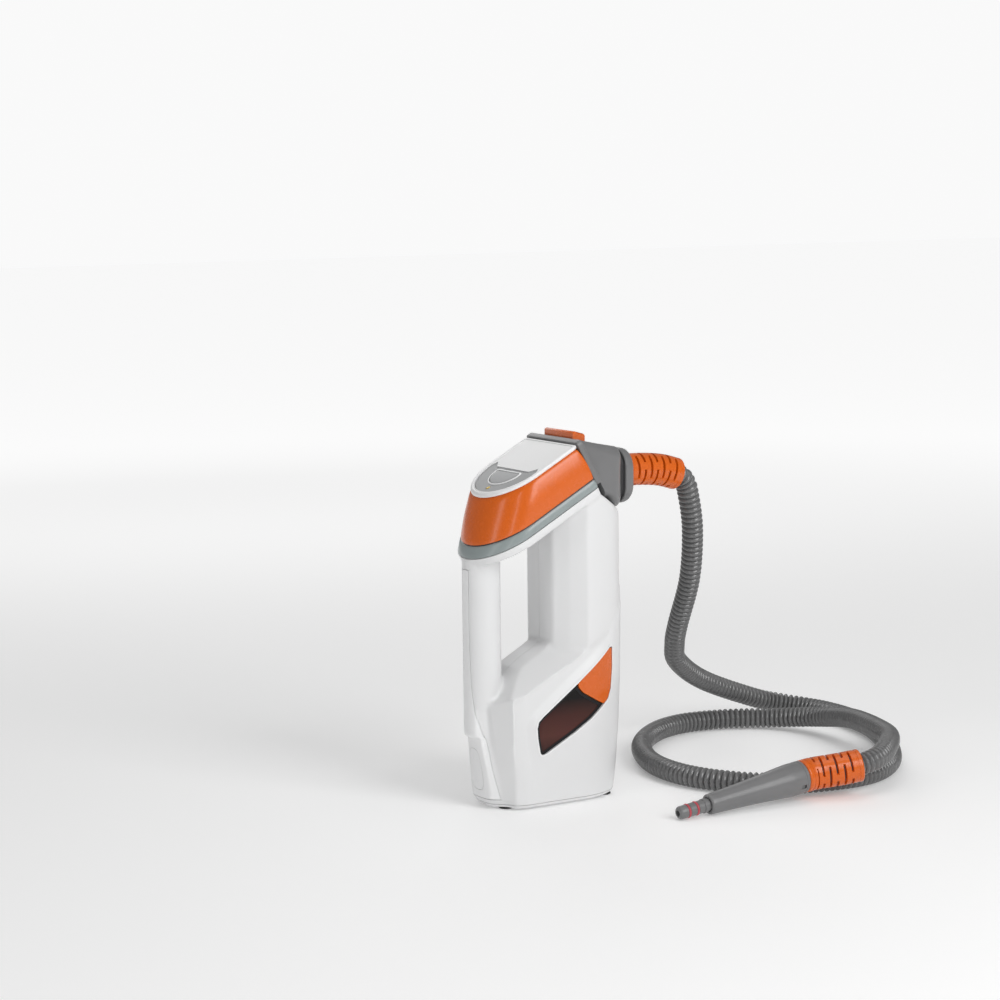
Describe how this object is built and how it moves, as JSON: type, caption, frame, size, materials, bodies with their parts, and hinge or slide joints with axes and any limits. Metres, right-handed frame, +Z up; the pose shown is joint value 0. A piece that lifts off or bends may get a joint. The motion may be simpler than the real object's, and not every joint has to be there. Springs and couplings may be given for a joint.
{
  "type": "hand-held steamer",
  "caption": "Upright hand-held steam unit with loop handle, slanted head, slide-on hose adapter, corrugated steam hose and tapered jet nozzle.",
  "frame": {"origin": "centre of the unit's footprint box on the plane of its feet", "axes": "+Z up, -Y towards the loop handle, +Y towards the hose outlet, +X the side with the tank window"},
  "size_m": [0.3088, 0.4572, 0.305],
  "materials": {
    "white_plastic": "gloss",
    "orange_plastic": "satin",
    "grey_plastic": "satin",
    "panel_grey": "satin",
    "band_grey": "satin",
    "rubber": "matte",
    "smoked_clear": "polished",
    "hose_grey": "satin",
    "tank_clear": "gloss",
    "steel": "satin",
    "brass": "satin",
    "dark_plastic": "matte",
    "silicone": "matte",
    "board_green": "matte",
    "seal_red": "matte"
  },
  "bodies": {
    "unit": {"left_shell": "white_plastic", "right_shell": "white_plastic", "front_trim": "white_plastic", "badge_plate": "white_plastic", "base_cover": "white_plastic", "neck_housing": "white_plastic", "head_skirt": "orange_plastic", "hose_cuff_top": "orange_plastic", "hose_cuff_end": "orange_plastic", "adapter_shell": "grey_plastic", "adapter_collar": "grey_plastic", "nozzle_shell": "grey_plastic", "nozzle_connector": "grey_plastic", "top_panel": "panel_grey", "head_band": "band_grey", "control_bezel": "band_grey", "foot_1": "rubber", "foot_2": "rubber", "foot_3": "rubber", "foot_4": "rubber", "adapter_gasket": "rubber", "port_seal": "rubber", "cord_gland": "rubber", "fill_plug": "rubber", "tank_window": "smoked_clear", "indicator_lens": "smoked_clear", "hose": "hose_grey", "water_tank": "tank_clear", "boiler": "steel", "thermostat": "steel", "release_spring": "steel", "base_screw_1": "steel", "base_screw_2": "steel", "base_screw_3": "steel", "base_screw_4": "steel", "steam_port": "brass", "pump": "dark_plastic", "microswitch": "dark_plastic", "feed_tube": "silicone", "steam_tube": "silicone", "boiler_tube": "silicone", "circuit_board": "board_green", "o_ring_1": "seal_red", "o_ring_2": "seal_red"},
    "fill_door": {"fill_door": "orange_plastic"},
    "control_button": {"control_button": "band_grey"},
    "release_button": {"release_button": "orange_plastic"}
  },
  "joints": [
    {"name": "fill_door_hinge", "type": "hinge", "parent": "unit", "child": "fill_door", "pos_m": [0.0366, 0.0419, 0.105], "axis": [0, 0, 1], "range_deg": [0, 95]},
    {"name": "control_button_press", "type": "slide", "parent": "unit", "child": "control_button", "axis": [0, 0.4772, -0.8788], "range_m": [0, 0.0015], "stiffness_N_per_m": 600},
    {"name": "release_button_press", "type": "slide", "parent": "unit", "child": "release_button", "axis": [0, 0, -1], "range_m": [0, 0.003], "stiffness_N_per_m": 800}
  ]
}
